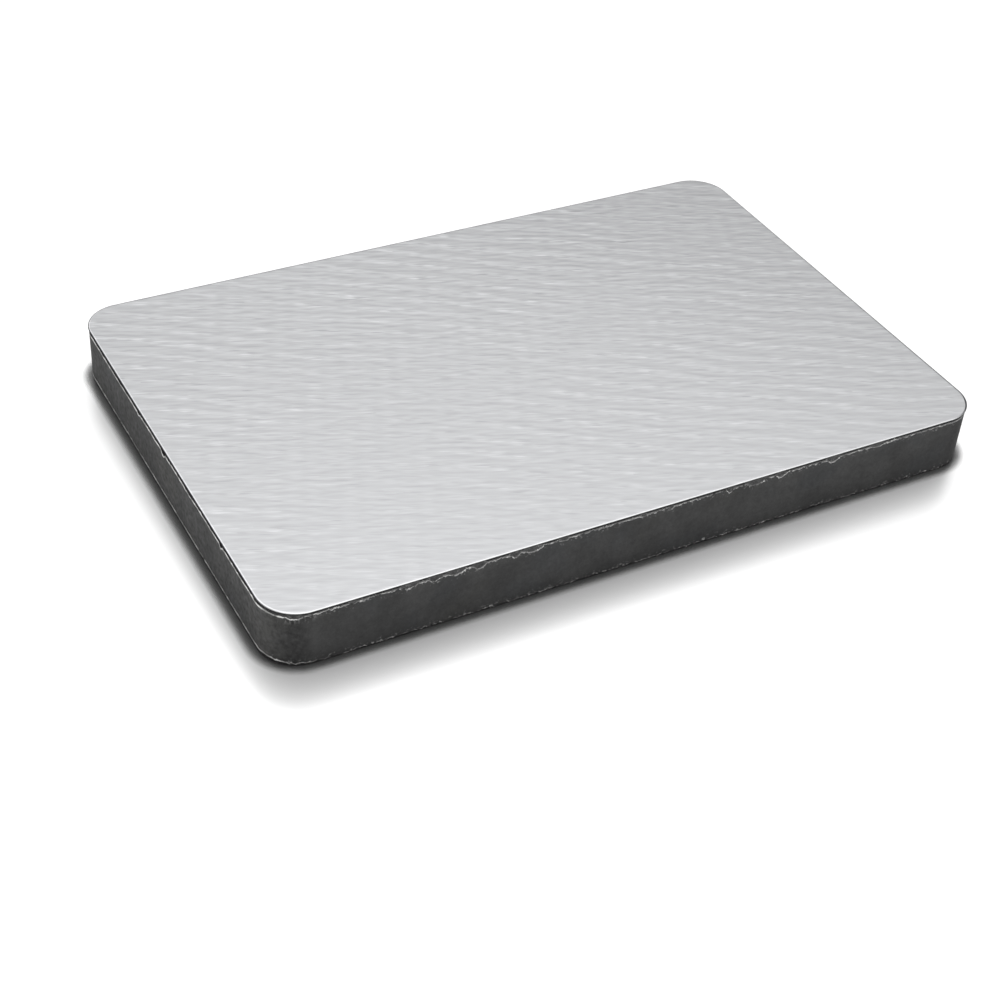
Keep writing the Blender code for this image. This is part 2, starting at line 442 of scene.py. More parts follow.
class Nodes:
    """Adds nodes to a tree. A value that is a socket gets linked, and any other value is set."""

    def __init__(self, tree):
        self.tree = tree

    def feed(self, socket, value):
        if isinstance(value, bpy.types.NodeSocket):
            self.tree.links.new(value, socket)
        else:
            socket.default_value = value

    def add(self, kind, inputs=None, **settings):
        node = self.tree.nodes.new(kind)
        for name, value in settings.items():
            setattr(node, name, value)
        for name, value in (inputs or {}).items():
            self.feed(node.inputs[name], value)
        return node

    def math(self, operation, *values, clamp=False):
        node = self.add("ShaderNodeMath", operation=operation, use_clamp=clamp)
        for socket, value in zip(node.inputs, values):
            self.feed(socket, value)
        return node.outputs[0]

    def vector_math(self, operation, *values):
        node = self.add("ShaderNodeVectorMath", operation=operation)
        for socket, value in zip(node.inputs, values):
            self.feed(socket, value)
        return node.outputs["Vector"]

    def dot(self, vector, weights):
        node = self.add("ShaderNodeVectorMath", operation="DOT_PRODUCT")
        self.feed(node.inputs[0], vector)
        self.feed(node.inputs[1], weights)
        return node.outputs["Value"]

    def noise(self, vector, size, detail=2.0, roughness=0.5, dimensions="3D"):
        """Noise from 0 to 1 whose features are about as large as size, in metres."""
        node = self.add(
            "ShaderNodeTexNoise",
            {"Vector": vector, "Scale": 1 / size, "Detail": detail, "Roughness": roughness},
            noise_dimensions=dimensions,
        )
        return node.outputs["Fac"]

    def ramp(self, value, low, high, to_low=0.0, to_high=1.0):
        """Smooth step of value from low to high."""
        node = self.add(
            "ShaderNodeMapRange",
            {"Value": value, "From Min": low, "From Max": high, "To Min": to_low, "To Max": to_high},
            interpolation_type="SMOOTHSTEP",
        )
        return node.outputs["Result"]

    def mix(self, share, first, second, blend="MIX"):
        node = self.add("ShaderNodeMix", data_type="RGBA", blend_type=blend)
        self.feed(node.inputs["Factor"], share)
        for socket, value in ((node.inputs[6], first), (node.inputs[7], second)):
            self.feed(socket, value)
        return node.outputs[2]

    def shaded(self, colour, shade):
        """A colour made lighter or darker by a number."""
        grey = self.add("ShaderNodeCombineColor", {"Red": shade, "Green": shade, "Blue": shade})
        return self.mix(1.0, colour, grey.outputs["Color"], "MULTIPLY")

    def attribute(self, name):
        node = self.add("ShaderNodeAttribute", attribute_name=name, attribute_type="GEOMETRY")
        return node.outputs["Fac"]

    def group(self, tree, inputs):
        node = self.add("ShaderNodeGroup", node_tree=tree)
        for name, value in inputs.items():
            self.feed(node.inputs[name], value)
        return node.outputs


def opaque(colour):
    return (*colour, 1.0)


def tinted(colour, tint):
    return opaque(level * share for level, share in zip(colour, tint))


def new_group(name, inputs, outputs):
    """An empty shader node group with named sockets, and the sockets to build it between."""
    tree = bpy.data.node_groups.new(name, "ShaderNodeTree")
    for socket, kind in inputs:
        tree.interface.new_socket(name=socket, in_out="INPUT", socket_type=kind)
    for socket, kind in outputs:
        tree.interface.new_socket(name=socket, in_out="OUTPUT", socket_type=kind)
    nodes = Nodes(tree)
    return tree, nodes, nodes.add("NodeGroupInput").outputs, nodes.add("NodeGroupOutput").inputs


def brush_lines_group():
    """Brush lines, as a tone about zero: soft lines with a groove beside each, and short crisp strokes.

    Broad slanting sweeps gather the strokes, and come out as a tone of their own.
    """
    tree, nodes, given, made = new_group(
        "brush_lines",
        (
            ("Vector", "NodeSocketVector"), ("Grain Angle", "NodeSocketFloat"),
            ("Sweep Angle", "NodeSocketFloat"), ("Length", "NodeSocketFloat"),
            ("Width", "NodeSocketFloat"), ("Pitch", "NodeSocketFloat"),
        ),
        (("Lines", "NodeSocketFloat"), ("Sweeps", "NodeSocketFloat")),
    )

    def turned_by(angle):
        return nodes.add(
            "ShaderNodeVectorRotate",
            {"Vector": given["Vector"], "Angle": nodes.math("MULTIPLY", angle, -1.0)},
            rotation_type="Z_AXIS",
        ).outputs["Vector"]

    def drawn_out(slant, length_share, width_share, shift=0.0):
        """The place in units of a line's length and width, turned a little off the grain."""
        turned = turned_by(nodes.math("ADD", given["Grain Angle"], slant))
        along = nodes.add("ShaderNodeSeparateXYZ", {"Vector": turned}).outputs
        length = nodes.math("MULTIPLY", given["Length"], length_share)
        width = nodes.math("MULTIPLY", given["Width"], width_share)
        across = nodes.math("ADD", nodes.math("DIVIDE", along["Y"], width), shift)
        return nodes.add(
            "ShaderNodeCombineXYZ", {"X": nodes.math("DIVIDE", along["X"], length), "Y": across},
        ).outputs["Vector"]

    def ridges(slant, length_share, width_share):
        """A soft line and the groove beside it."""
        heights = [
            nodes.add(
                "ShaderNodeTexNoise",
                {
                    "Vector": drawn_out(slant, length_share, width_share, shift),
                    "Scale": 1.0, "Detail": 1.0, "Roughness": 0.5,
                },
                noise_dimensions="2D",
            ).outputs["Fac"]
            for shift in (0.0, 1.0)
        ]
        return nodes.math("SUBTRACT", *heights)

    def strokes(slant, length_share, width_share):
        """Short tapered strokes, a few much brighter or darker than the rest."""
        cell = nodes.add(
            "ShaderNodeTexVoronoi",
            {"Vector": drawn_out(slant, length_share, width_share), "Scale": 1.0, "Randomness": 1.0},
            voronoi_dimensions="2D",
        ).outputs
        chance = nodes.add("ShaderNodeSeparateColor", {"Color": cell["Color"]}).outputs
        bright, dark = nodes.math("POWER", chance["Red"], 4.0), nodes.math("POWER", chance["Green"], 3.0)
        level = nodes.math("SUBTRACT", bright, nodes.math("MULTIPLY", dark, DARK_STROKE_SHARE))
        return nodes.math("MULTIPLY", nodes.ramp(cell["Distance"], 0.50, 0.16), level)

    swept = turned_by(given["Sweep Angle"])
    over = nodes.add("ShaderNodeSeparateXYZ", {"Vector": swept}).outputs["Y"]
    warp = nodes.math("SUBTRACT", nodes.noise(swept, SWEEP_BEND, detail=0.0), 0.5)
    turns = nodes.math("DIVIDE", nodes.math("MULTIPLY_ADD", warp, SWEEP_WANDER, over), given["Pitch"])
    wave = nodes.math("COSINE", nodes.math("MULTIPLY", turns, 2 * math.pi))
    strength = nodes.ramp(nodes.noise(given["Vector"], SWEEP_PATCH, detail=1.0), 0.32, 0.60)
    sweeps = nodes.math("MULTIPLY", nodes.ramp(wave, -0.6, 1.0, -0.6, 1.0), strength)

    soft = nodes.math("MULTIPLY_ADD", ridges(*NARROW_LINES), NARROW_SHARE, ridges(*BROAD_LINES))
    crisp = nodes.math("ADD", strokes(*LONG_STROKES), strokes(*SHORT_STROKES))
    gathering = nodes.math("MULTIPLY_ADD", sweeps, STROKE_GATHERING, STROKE_GATHERING)
    gathered = nodes.math("MULTIPLY", crisp, gathering)
    crisp_part = nodes.math("MULTIPLY", gathered, STROKE_SHARE)
    nodes.feed(made["Lines"], nodes.math("MULTIPLY_ADD", soft, SOFT_SHARE, crisp_part))
    nodes.feed(made["Sweeps"], sweeps)
    return tree


def grain_group():
    """Fine grain, from 0 to 1."""
    tree, nodes, given, made = new_group(
        "fine_grain", (("Vector", "NodeSocketVector"),), (("Grain", "NodeSocketFloat"),),
    )
    nodes.feed(made["Grain"], nodes.noise(given["Vector"], GRAIN_SIZE, detail=2.0, roughness=0.6))
    return tree


def shared_group(name, build):
    """A group that several materials use is built once."""
    return bpy.data.node_groups.get(name) or build()


def new_material(name):
    """A material with a Principled shader, its node builder and the shader's inputs."""
    material = bpy.data.materials.new(name)
    material.use_nodes = True
    shader = material.node_tree.nodes["Principled BSDF"]
    return material, Nodes(material.node_tree), shader.inputs


def object_place(nodes):
    return nodes.add("ShaderNodeTexCoord").outputs["Object"]


def brushed_metal(settings):
    """The facing's flat faces, shoulder and rim."""
    material, nodes, shader = new_material("facing_brushed")
    place = object_place(nodes)
    brushed = nodes.group(shared_group("brush_lines", brush_lines_group), {
        "Vector": place, "Grain Angle": settings.grain_angle, "Sweep Angle": settings.sweep_angle,
        "Length": settings.line_length, "Width": settings.line_width, "Pitch": settings.sweep_pitch,
    })
    fade = nodes.math("ADD", nodes.dot(place, (*settings.lines_fade, 0.0)), settings.lines_level)
    tone = nodes.math("MULTIPLY", brushed["Lines"], settings.line_contrast)
    tone = nodes.math("MULTIPLY_ADD", brushed["Sweeps"], settings.sweep_contrast, tone)
    shade = nodes.math("MULTIPLY_ADD", tone, fade, 1.0)
    # Painted shade: the colour is darkened towards the back right corner
    to_corner = nodes.dot(place, TO_BACK_RIGHT)
    painted_shade_factor = nodes.ramp(to_corner, 0.0, settings.back_right_shade_reach, 1.0, 1.0 - settings.back_right_painted_shade)
    shade = nodes.math("MULTIPLY", shade, painted_shade_factor)

    shoulder, front_rim_highlight = nodes.attribute("shoulder"), nodes.attribute("front_rim_highlight")
    # Painted highlight and shade on a ring inside the rim: lighter at the left end, darker elsewhere
    ring = nodes.math("MULTIPLY", nodes.ramp(shoulder, 0.3, 0.5), nodes.ramp(shoulder, 0.86, 0.74))
    painted_ring_tone = nodes.math("MULTIPLY", ring, nodes.attribute("ring_painted_light"))
    shade = nodes.math("MULTIPLY_ADD", painted_ring_tone, shade, shade)
    clean = nodes.shaded(opaque(settings.colour), shade)
    # Painted shade over the outer part of the shoulder and rim
    rim_shade_share = nodes.ramp(nodes.math("ADD", shoulder, nodes.attribute("rim_painted_shade")), 0.94, 1.06)
    colour = nodes.mix(rim_shade_share, clean, opaque(settings.rim_painted_shade_colour))
    # Painted highlight: the rim in front turns to the lighter rim colour
    bright = nodes.math("MULTIPLY", front_rim_highlight, nodes.ramp(shoulder, 0.60, 0.80))
    nodes.feed(shader["Base Color"], nodes.mix(bright, colour, opaque(settings.rim_highlight_colour)))
    shader["Metallic"].default_value = 1.0
    nodes.feed(
        shader["Roughness"],
        nodes.math("MULTIPLY_ADD", brushed["Lines"], LINE_ROUGHNESS, settings.roughness),
    )
    bump = nodes.add(
        "ShaderNodeBump", {"Height": brushed["Lines"], "Strength": 0.25, "Distance": 0.00002}
    )
    nodes.feed(shader["Normal"], bump.outputs["Normal"])
    return material


def sheared_metal(settings):
    """The facing's cut edge, painted near black as shade under the rim, with a smeared tone over it."""
    material, nodes, shader = new_material("facing_cut")
    place = object_place(nodes)
    smear = nodes.noise(nodes.vector_math("MULTIPLY", place, (1.0, 1.0, 2.0)), SMEAR_SIZE, detail=2.0)
    shade = nodes.ramp(smear, 0.35, 0.75, 1.0, 2.2)
    nodes.feed(shader["Base Color"], nodes.shaded(opaque(settings.cut_edge_painted_shade), shade))
    nodes.feed(shader["Roughness"], nodes.ramp(smear, 0.3, 0.7, 0.85, 0.7))
    shader["Specular IOR Level"].default_value = 0.0
    return material


def cured_adhesive(settings):
    """The film between facing and core."""
    material, nodes, shader = new_material("film_adhesive")
    place = object_place(nodes)
    grain = nodes.group(shared_group("fine_grain", grain_group), {"Vector": place})["Grain"]
    paler = [min(1.0, FILM_PALER * level) for level in settings.colour]
    nodes.feed(shader["Base Color"], nodes.mix(grain, opaque(settings.colour), opaque(paler)))
    nodes.feed(shader["Roughness"], nodes.math("MULTIPLY_ADD", grain, 0.2, settings.roughness - 0.1))
    bump = nodes.add("ShaderNodeBump", {"Height": grain, "Strength": 0.4, "Distance": 0.00003})
    nodes.feed(shader["Normal"], bump.outputs["Normal"])
    return material


def corner_scrapes(nodes, place):
    """Short upright scrapes below the facing at the front left corner, from 0 to 1."""
    outline = PlanOutline("core")
    low, high = outline.low, outline.high
    corner = Vector((low.x + outline.radius / 2, low.y + outline.radius / 2, high.z))
    upright = nodes.vector_math("MULTIPLY", place, (1.0, 1.0, 0.28))
    scrapes = nodes.ramp(nodes.noise(upright, SCRAPE_SIZE, detail=2.0, roughness=0.6), 0.50, 0.68)
    away = nodes.vector_math("MULTIPLY", nodes.vector_math("SUBTRACT", place, corner), (1.0, 1.0, 3.5))
    distance = nodes.add("ShaderNodeVectorMath", {"Vector": away}, operation="LENGTH").outputs["Value"]
    return nodes.math("MULTIPLY", scrapes, nodes.ramp(distance, SCRAPE_REACH, SCRAPE_FULL))


def charcoal_mineral(settings):
    """The core: a sawn matt face, broken surfaces, and pale crests along them, partly crushed mineral and
    partly a painted highlight.
    """
    material, nodes, shader = new_material("core_mineral")
    place = object_place(nodes)
    grain = nodes.group(shared_group("fine_grain", grain_group), {"Vector": place})["Grain"]
    height = nodes.add("ShaderNodeSeparateXYZ", {"Vector": place}).outputs["Z"]
    low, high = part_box("core")
    is_lower = nodes.math("LESS_THAN", height, (low.z + high.z) / 2)
    breakage, end = nodes.attribute("breakage"), nodes.attribute("end")
    wear = nodes.math("MULTIPLY_ADD", end, settings.left_wear - settings.front_wear, settings.front_wear)
    lower_share = nodes.math("MULTIPLY_ADD", is_lower, settings.lower_wear - 1, 1.0)
    wear = nodes.math("MULTIPLY", wear, lower_share)
    crumbs = nodes.noise(place, CRUMB_SIZE, detail=4.0, roughness=0.7)
    patches = nodes.noise(place, PATCH_SIZE, detail=3.0, roughness=0.6)

    base = Vector(settings.colour)
    cloud = nodes.noise(place, CLOUD_SIZE, detail=3.0, roughness=0.55)
    sawn = nodes.mix(nodes.ramp(cloud, 0.35, 0.65), opaque(base * 0.80), opaque(base * 1.18))
    tint = nodes.noise(nodes.vector_math("ADD", place, (0.31, 0.0, 0.0)), TINT_SIZE, detail=1.0)
    sawn = nodes.mix(nodes.ramp(tint, 0.54, 0.70, 0.0, TINT_SHARE), sawn, tinted(base, BLUISH_TINT))
    sawn = nodes.mix(nodes.ramp(tint, 0.46, 0.30, 0.0, TINT_SHARE), sawn, tinted(base, OLIVE_TINT))
    spots = nodes.noise(place, MOTTLE_SIZE, detail=3.0, roughness=0.65)
    mottling = nodes.math("MULTIPLY_ADD", end, END_MOTTLE, MOTTLE_STRENGTH)
    mottle = nodes.math("MULTIPLY", nodes.math("SUBTRACT", spots, MOTTLE_MIDDLE), mottling)
    # Painted highlight and shade on the round corners, added to the mottling
    mottle_and_corner_light = nodes.math("MULTIPLY_ADD", nodes.attribute("painted_corner_light"), settings.painted_corner_light_strength, mottle)
    # Painted shade: the sawn face is darker towards the foot and paler with height
    paler = nodes.math("ADD", nodes.math("MULTIPLY_ADD", height, PAINTED_SHADE_RISE, FOOT_PAINTED_SHADE), mottle_and_corner_light)
    sawn = nodes.shaded(sawn, paler)

    looseness = nodes.math("MULTIPLY_ADD", wear, -0.9 * settings.tear, settings.tear)
    torn = nodes.math("MULTIPLY_ADD", nodes.math("SUBTRACT", crumbs, 0.5), looseness, breakage)
    # Painted shade: chips at the left end and on the lower half take the near black colour
    painted_shade_share = nodes.math("MAXIMUM", end, is_lower)
    chip = nodes.mix(painted_shade_share, opaque(settings.chip_colour), opaque(settings.painted_shade_chip_colour))
    chip = nodes.shaded(chip, nodes.ramp(crumbs, 0.3, 0.7, 0.7, 1.2))
    # Painted shade: chips darken near the top of the core, under the film
    chip = nodes.shaded(chip, nodes.ramp(height, high.z - CHIP_SHADE_HEIGHT, high.z, 1.0, 0.25))
    colour = nodes.mix(nodes.ramp(torn, -CHIP_SOFTNESS, 2 * CHIP_SOFTNESS), sawn, chip)

    near = nodes.ramp(breakage, -SCUFF_START, -SCUFF_FULL)
    scuffed = nodes.math("MULTIPLY", nodes.ramp(crumbs, 0.54, 0.70), nodes.ramp(wear, 1.1, 0.4, 0.0, 0.45))
    colour = nodes.mix(nodes.math("MULTIPLY", near, scuffed), colour, opaque(settings.crest_colour))

    # Crests: partly pale crushed mineral, partly a painted highlight along the broken arris, brighter where
    # wear is higher
    width = nodes.math("MULTIPLY", wear, settings.crest_width)
    across = nodes.math("DIVIDE", torn, width)
    band = nodes.math("MULTIPLY", nodes.ramp(across, -0.9, -0.5), nodes.ramp(across, 0.10, 0.0))
    cover = nodes.ramp(nodes.math("MULTIPLY_ADD", wear, 0.30, patches), 0.53, 0.63)
    crushed_and_highlit = nodes.ramp(nodes.noise(place, CRUSH_SIZE, detail=2.0), 0.38, 0.62, 0.50, 1.35)
    crushed_and_highlit = nodes.math("MULTIPLY", crushed_and_highlit, nodes.math("MULTIPLY_ADD", wear, 0.35, 0.85))
    crushed_and_highlit = nodes.shaded(opaque(settings.crest_colour), crushed_and_highlit)
    colour = nodes.mix(nodes.math("MULTIPLY", band, cover), colour, crushed_and_highlit)
    scraped = nodes.math("MULTIPLY", corner_scrapes(nodes, place), SCRAPE_STRENGTH)
    colour = nodes.mix(scraped, colour, opaque(settings.crest_colour))

    colour = nodes.shaded(colour, nodes.ramp(grain, 0.25, 0.75, 0.92, 1.08))
    nodes.feed(shader["Base Color"], colour)
    nodes.feed(shader["Roughness"], nodes.ramp(crumbs, 0.3, 0.7, 0.82, 0.94))

    relief = nodes.math("MULTIPLY_ADD", crumbs, nodes.ramp(torn, -RELIEF_FADE, 0.0), grain)
    bump = nodes.add("ShaderNodeBump", {"Height": relief, "Strength": 0.5, "Distance": 0.00006})
    nodes.feed(shader["Normal"], bump.outputs["Normal"])
    return material


def finish_piece(name, edit, materials):
    """Makes the edited mesh an object at the origin."""
    mesh = bpy.data.meshes.new(name)
    edit.to_mesh(mesh)
    edit.free()
    for material in materials:
        mesh.materials.append(material)
    piece = bpy.data.objects.new(name, mesh)
    bpy.context.scene.collection.objects.link(piece)
    return piece


def corner_radius(node):
    """Radius of a node's round corners, read off where its straight front ends."""
    low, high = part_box(node)
    on_front = [vert.co.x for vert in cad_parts[node].data.vertices if vert.co.y < low.y + 0.00001]
    return high.x - max(on_front)


class PlanOutline:
    """The plan of a node, as points at a distance along it, counter-clockwise from the front's left end."""

    def __init__(self, node):
        self.low, self.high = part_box(node)
        self.radius = corner_radius(node)
        self.front = self.high.x - self.low.x - 2 * self.radius
        self.side = self.high.y - self.low.y - 2 * self.radius
        self.quarter = math.pi / 2 * self.radius
        self.around = 2 * (self.front + self.side) + 4 * self.quarter

    def straights(self):
        """Where each straight starts, its direction and its length: the front, right, back and left."""
        low, high, radius = self.low, self.high, self.radius
        return (
            (Vector((low.x + radius, low.y, 0)), Vector((1, 0, 0)), self.front),
            (Vector((high.x, low.y + radius, 0)), Vector((0, 1, 0)), self.side),
            (Vector((high.x - radius, high.y, 0)), Vector((-1, 0, 0)), self.front),
            (Vector((low.x, high.y - radius, 0)), Vector((0, -1, 0)), self.side),
        )

    def at(self, place):
        """The point at a place, at height zero, and the way outward."""
        for start, along, length in self.straights():
            outward = Vector((along.y, -along.x, 0))
            if place <= length:
                return start + along * place, outward
            place -= length
            if place <= self.quarter:
                break
            place -= self.quarter
        centre = start + along * length - outward * self.radius
        angle = place / self.radius
        turned = outward * math.cos(angle) + along * math.sin(angle)
        return centre + turned * self.radius, turned


def last_that_holds(test, start, end):
    """The furthest distance from start towards end at which a test still holds."""
    for _ in range(SEARCH_STEPS):
        middle = (start + end) / 2
        if test(middle):
            start = middle
        else:
            end = middle
    return start


class BrokenArris:
    """The arris of the core's solid at one place: its outer lip, its middle and its inner lip."""

    def __init__(self, tree, point, outward, face_height, up):
        self.tree = tree
        self.point, self.outward = point, outward
        self.face, self.up = face_height, Vector((0, 0, up))
        self.wall_inset = self.inset_at(4 * BREAK_REACH)
        self.drop = last_that_holds(self.is_broken_at_depth, 0.0, BREAK_REACH)
        self.bite = last_that_holds(self.is_broken_at_inset, 0.0, BREAK_REACH)
        self.middle = self.middle_of_break()

    def corner(self):
        return self.point + Vector((0, 0, self.face))

    def inset_at(self, depth):
        """How far in from the outline the solid starts, at a depth from the flat face."""
        start = self.corner() - self.up * depth + self.outward * BREAK_REACH
        distance = self.tree.ray_cast(start, -self.outward)[3]
        return math.inf if distance is None else distance - BREAK_REACH

    def is_broken_at_depth(self, depth):
        return self.inset_at(depth) > self.wall_inset + BREAK_TOLERANCE

    def is_broken_at_inset(self, inset):
        start = self.corner() - self.outward * inset + self.up * BREAK_REACH
        distance = self.tree.ray_cast(start, -self.up)[3]
        return distance is None or distance - BREAK_REACH > BREAK_TOLERANCE

    def middle_of_break(self):
        """Inset and depth where the ray through the middle of the break meets it."""
        slant = (self.outward + self.up).normalized()
        chord = self.corner() - self.outward * self.bite / 2 - self.up * self.drop / 2
        hit = self.tree.ray_cast(chord + slant * BREAK_REACH, -slant)[0]
        return (self.point - hit).dot(self.outward), self.up.dot(self.corner() - hit)

    def on_break(self, share):
        """Inset and depth on the curve from the outer lip, through the middle, to the inner lip."""
        outer, middle, inner = (0.0, self.drop), self.middle, (self.bite, 0.0)
        weights = ((1 - share) * (1 - 2 * share), 4 * share * (1 - share), share * (2 * share - 1))
        return tuple(sum(w * p[i] for w, p in zip(weights, (outer, middle, inner))) for i in (0, 1))


def map_flat(faces, layer, low, corner, scale):
    """Lays faces on the map as they are seen from above, at a scale from a corner."""
    for face in faces:
        for loop in face.loops:
            spot = (loop.vert.co - low) * scale
            loop[layer].uv = (corner[0] + spot.x, corner[1] + spot.y)


def map_belt(edit, layer):
    """Cuts the belt, while it still is a flat square, into strips that lie one above another."""
    for face in edit.faces:
        strip = int(face.calc_center_median().x * BELT_STRIPS)
        start = MAP_MARGIN + strip * (BELT_STRIP_HEIGHT + MAP_MARGIN)
        for loop in face.loops:
            along = loop.vert.co.x * BELT_STRIPS - strip
            up = loop.vert.co.y * BELT_STRIP_HEIGHT
            loop[layer].uv = (MAP_MARGIN + along * (1 - 2 * MAP_MARGIN), start + up)


def map_rim(faces, layer, low, size, corner, scale):
    """Lays the sides of a sheet on the map: the front, back, left and right, one above another."""
    for face in faces:
        is_long = abs(face.normal.y) >= abs(face.normal.x)
        is_far = face.normal.y > 0 if is_long else face.normal.x > 0
        start = corner[1] + (2 * (not is_long) + is_far) * (RIM_STRIP_HEIGHT + MAP_MARGIN)
        for loop in face.loops:
            spot = loop.vert.co - low
            along = spot.x if is_long else spot.y
            loop[layer].uv = (corner[0] + along * scale, start + spot.z / size.z * RIM_STRIP_HEIGHT)


def map_caps(caps, layer, low, high):
    """Lays the core's underside on the map above the strips of the belt, and its hidden top beside it."""
    over_belt = 2 * MAP_MARGIN + BELT_STRIPS * (BELT_STRIP_HEIGHT + MAP_MARGIN)
    tall = (1 - MAP_MARGIN - over_belt) / (high.y - low.y)
    beside = 2 * MAP_MARGIN + tall * (high.x - low.x)
    small = (1 - 2 * MAP_MARGIN - beside) / (high.x - low.x)
    under = [face for face in caps if face.normal.z < 0]
    over = [face for face in caps if face.normal.z > 0]
    map_flat(under, layer, low, (MAP_MARGIN, over_belt), tall)
    map_flat(over, layer, low, (beside, over_belt), small)


def leftness(outward):
    """One on the left end, and falling to nought round its corners."""
    return max(0.0, -outward.x)


def corner_side(outward):
    """One on the end side of each round corner, minus one on its long side, and nought elsewhere."""
    return 4 * abs(outward.x * outward.y) * (outward.x ** 2 - outward.y ** 2)


def shares(rows):
    """Even shares for the far edge of each row of faces."""
    return [(row + 1) / rows for row in range(rows)]


def section_of(lower, upper, settings):
    """The core's edge at one place, from the underside up: inset, height, and distance past a lip.

    The distance is below nought on the sawn edge face and the underside, and above it on a break. The
    lower break starts at the top of its bruised margin, and the upper one goes on under the film.
    """
    bottom, top = lower.face, upper.face
    ring = settings.band
    rise = settings.front_rise + leftness(lower.outward) * (settings.left_rise - settings.front_rise)

    def lower_break(share):
        inset, depth = lower.on_break(share)
        past_outer, past_inner = share * lower.drop + rise, (1 - share) * (lower.drop + rise)
        return inset, bottom + depth, min(past_outer, past_inner)

    def upper_break(share):
        inset, depth = upper.on_break(share)
        return inset, top - depth, share * upper.drop

    rows = [(lower.bite + ring, bottom, -ring)]
    rows += [lower_break(1 - share) for share in [0.0] + shares(LOWER_BREAK_ROWS)]
    lip, upper_lip = bottom + lower.drop, top - upper.drop
    band_end, upper_band_start = lip + settings.lower_band, upper_lip - settings.band
    rows += [
        (0.0, lip + share * settings.lower_band, rise - share * settings.lower_band)
        for share in shares(LOWER_BAND_ROWS)
    ]
    for share in shares(WALL_ROWS):
        height = band_end + share * (upper_band_start - band_end)
        rows.append((0.0, height, -min(height - lip - rise, upper_lip - height)))
    rows += [
        (0.0, upper_band_start + share * settings.band, -(1 - share) * settings.band)
        for share in shares(UPPER_BAND_ROWS)
    ]
    rows += [upper_break(share) for share in shares(UPPER_BREAK_ROWS)]
    rows.append((upper.bite + ring, top, upper.drop + ring))
    return rows


def flaked(point, outward, inset, height, past_lip, settings):
    """Where a point of the core's edge lies once it is flaked, and how far inside a flake it is."""
    place = point + Vector((0, 0, height))
    coarse = noise.noise(place / settings.flake_size)
    fine = noise.noise(place * 2.7 / settings.flake_size)
    reach = settings.flake_reach * (1 - 0.8 * leftness(outward))
    sag = settings.front_sag * (1 - leftness(outward))
    breakage = past_lip + sag + reach * (0.70 * coarse + 0.50 * fine)
    sunk = min(max(breakage, 0.0) / settings.flake_size, 1.0) * settings.flake_depth
    return place - outward * (inset + sunk), breakage


def new_core(settings):
    """The mineral core: a belt of faces round its edge, capped over its top and underside."""
    low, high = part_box("core")
    outline = PlanOutline("core")
    solid = bmesh.new()
    solid.from_mesh(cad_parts["core"].data)
    tree = BVHTree.FromBMesh(solid)
    solid.free()

    columns = round(outline.around / settings.column_width)
    sections, ends, painted_corner_lights = [], [], []
    for column in range(columns):
        point, outward = outline.at(outline.around * column / columns)
        lower = BrokenArris(tree, point, outward, low.z, -1)
        upper = BrokenArris(tree, point, outward, high.z, 1)
        rows = section_of(lower, upper, settings)
        sections.append([flaked(point, outward, *row, settings) for row in rows])
        ends.append(leftness(outward))
        painted_corner_lights.append(corner_side(outward))

    levels = len(sections[0]) - 1
    edit = bmesh.new()
    grid_place = Matrix.Translation((0.5, 0.5, 0))
    bmesh.ops.create_grid(edit, x_segments=columns, y_segments=levels, size=0.5, matrix=grid_place)
    breakage = edit.verts.layers.float.new("breakage")
    end = edit.verts.layers.float.new("end")
    painted_corner_light = edit.verts.layers.float.new("painted_corner_light")
    bake_map = edit.loops.layers.uv.new(BAKE_MAP)
    map_belt(edit, bake_map)
    for vert in edit.verts:
        column = round(vert.co.x * columns) % columns
        level = round(vert.co.y * levels)
        vert.co, vert[breakage] = sections[column][level]
        vert[end], vert[painted_corner_light] = ends[column], painted_corner_lights[column]
    bmesh.ops.remove_doubles(edit, verts=edit.verts, dist=0.000001)
    rims = [edge for edge in edit.edges if edge.is_boundary]
    caps = bmesh.ops.holes_fill(edit, edges=rims, sides=0)["faces"]
    bmesh.ops.recalc_face_normals(edit, faces=edit.faces)
    map_caps(caps, bake_map, low, high)
    for face in edit.faces:
        face.smooth = True
    piece = finish_piece("mineral_core", edit, [charcoal_mineral(settings)])
    piece.data.set_sharp_from_angle(angle=SHARP_ANGLE)
    return piece


